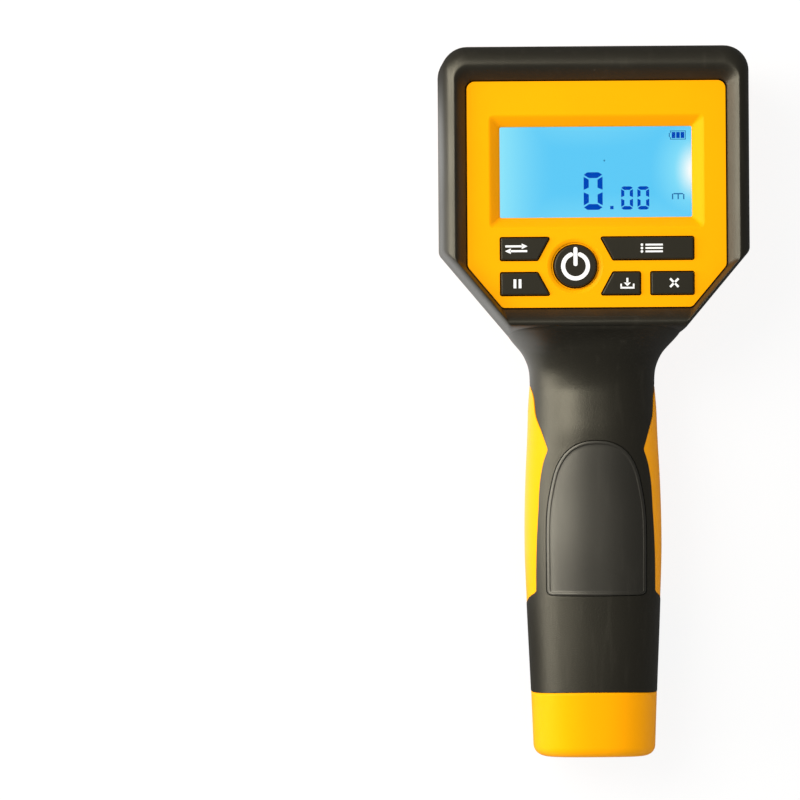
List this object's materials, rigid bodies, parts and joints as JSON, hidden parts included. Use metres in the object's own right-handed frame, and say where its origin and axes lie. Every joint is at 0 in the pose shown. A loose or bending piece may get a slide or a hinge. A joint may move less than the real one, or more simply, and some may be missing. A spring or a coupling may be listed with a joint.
{
  "type": "measuring wheel display handle",
  "caption": "Handheld display handle of an electronic measuring wheel: backlit screen and keys in a bumper head above a pistol-type grip.",
  "frame": {"origin": "middle of the bounding box in X and Y, on the surface that the handle's back lies on", "axes": "+X to the screen's right, +Y from the tail to the top of the head, +Z out of the screen"},
  "size_m": [0.098, 0.225, 0.05],
  "materials": {
    "bumper_rubber": "satin moulded rubber",
    "shell_yellow": "semi-gloss moulded plastic",
    "window_clear": "clear polished",
    "screen_blue": "backlit liquid crystal",
    "inner_white": "translucent white",
    "key_black": "satin",
    "inner_black": "matte",
    "board_green": "solder mask",
    "cell_wrap": "printed film",
    "bright_steel": "plated",
    "lead_red": "insulation"
  },
  "bodies": {
    "housing": {"front_housing": "bumper_rubber", "rear_housing": "shell_yellow", "tail_cap": "shell_yellow", "palm_pad": "bumper_rubber", "faceplate": "shell_yellow", "display_window": "window_clear", "window_gasket": "bumper_rubber", "lcd_panel": "screen_blue", "light_guide": "inner_white", "backlight_led": "inner_white", "contact_strip": "bumper_rubber", "units_switch": "inner_black", "hold_switch": "inner_black", "power_switch": "inner_black", "memory_switch": "inner_black", "save_switch": "inner_black", "clear_switch": "inner_black", "main_board": "board_green", "controller_chip": "inner_black", "sensor_jack": "inner_black", "pole_socket": "inner_black", "battery_tray": "inner_black", "battery_1": "cell_wrap", "battery_2": "cell_wrap", "spring_1": "bright_steel", "spring_2": "bright_steel", "bridge_contact": "bright_steel", "positive_contact": "bright_steel", "negative_contact": "bright_steel", "red_lead": "lead_red", "black_lead": "inner_black", "housing_screw_1": "bright_steel", "housing_screw_2": "bright_steel", "housing_screw_3": "bright_steel", "housing_screw_4": "bright_steel", "board_screw_1": "bright_steel", "board_screw_2": "bright_steel", "board_screw_3": "bright_steel", "board_screw_4": "bright_steel", "socket_screw_1": "bright_steel", "socket_screw_2": "bright_steel"},
    "units_button": {"units_key": "key_black", "units_plunger": "inner_black"},
    "hold_button": {"hold_key": "key_black", "hold_plunger": "inner_black"},
    "power_button": {"power_key": "key_black", "power_plunger": "inner_black"},
    "memory_button": {"memory_key": "key_black", "memory_plunger": "inner_black"},
    "save_button": {"save_key": "key_black", "save_plunger": "inner_black"},
    "clear_button": {"clear_key": "key_black", "clear_plunger": "inner_black"},
    "door": {"battery_door": "shell_yellow"}
  },
  "joints": [
    {"name": "units_press", "type": "slide", "parent": "housing", "child": "units_button", "axis": [0, 0, -1], "range_m": [0, 0.0008], "stiffness_N_per_m": 300},
    {"name": "hold_press", "type": "slide", "parent": "housing", "child": "hold_button", "axis": [0, 0, -1], "range_m": [0, 0.0008], "stiffness_N_per_m": 300},
    {"name": "power_press", "type": "slide", "parent": "housing", "child": "power_button", "axis": [0, 0, -1], "range_m": [0, 0.0008], "stiffness_N_per_m": 300},
    {"name": "memory_press", "type": "slide", "parent": "housing", "child": "memory_button", "axis": [0, 0, -1], "range_m": [0, 0.0008], "stiffness_N_per_m": 300},
    {"name": "save_press", "type": "slide", "parent": "housing", "child": "save_button", "axis": [0, 0, -1], "range_m": [0, 0.0008], "stiffness_N_per_m": 300},
    {"name": "clear_press", "type": "slide", "parent": "housing", "child": "clear_button", "axis": [0, 0, -1], "range_m": [0, 0.0008], "stiffness_N_per_m": 300},
    {"name": "battery_door_hinge", "type": "hinge", "parent": "housing", "child": "door", "pos_m": [0, -0.05845, 0.00065], "axis": [-1, 0, 0], "range_deg": [0, 70]}
  ]
}
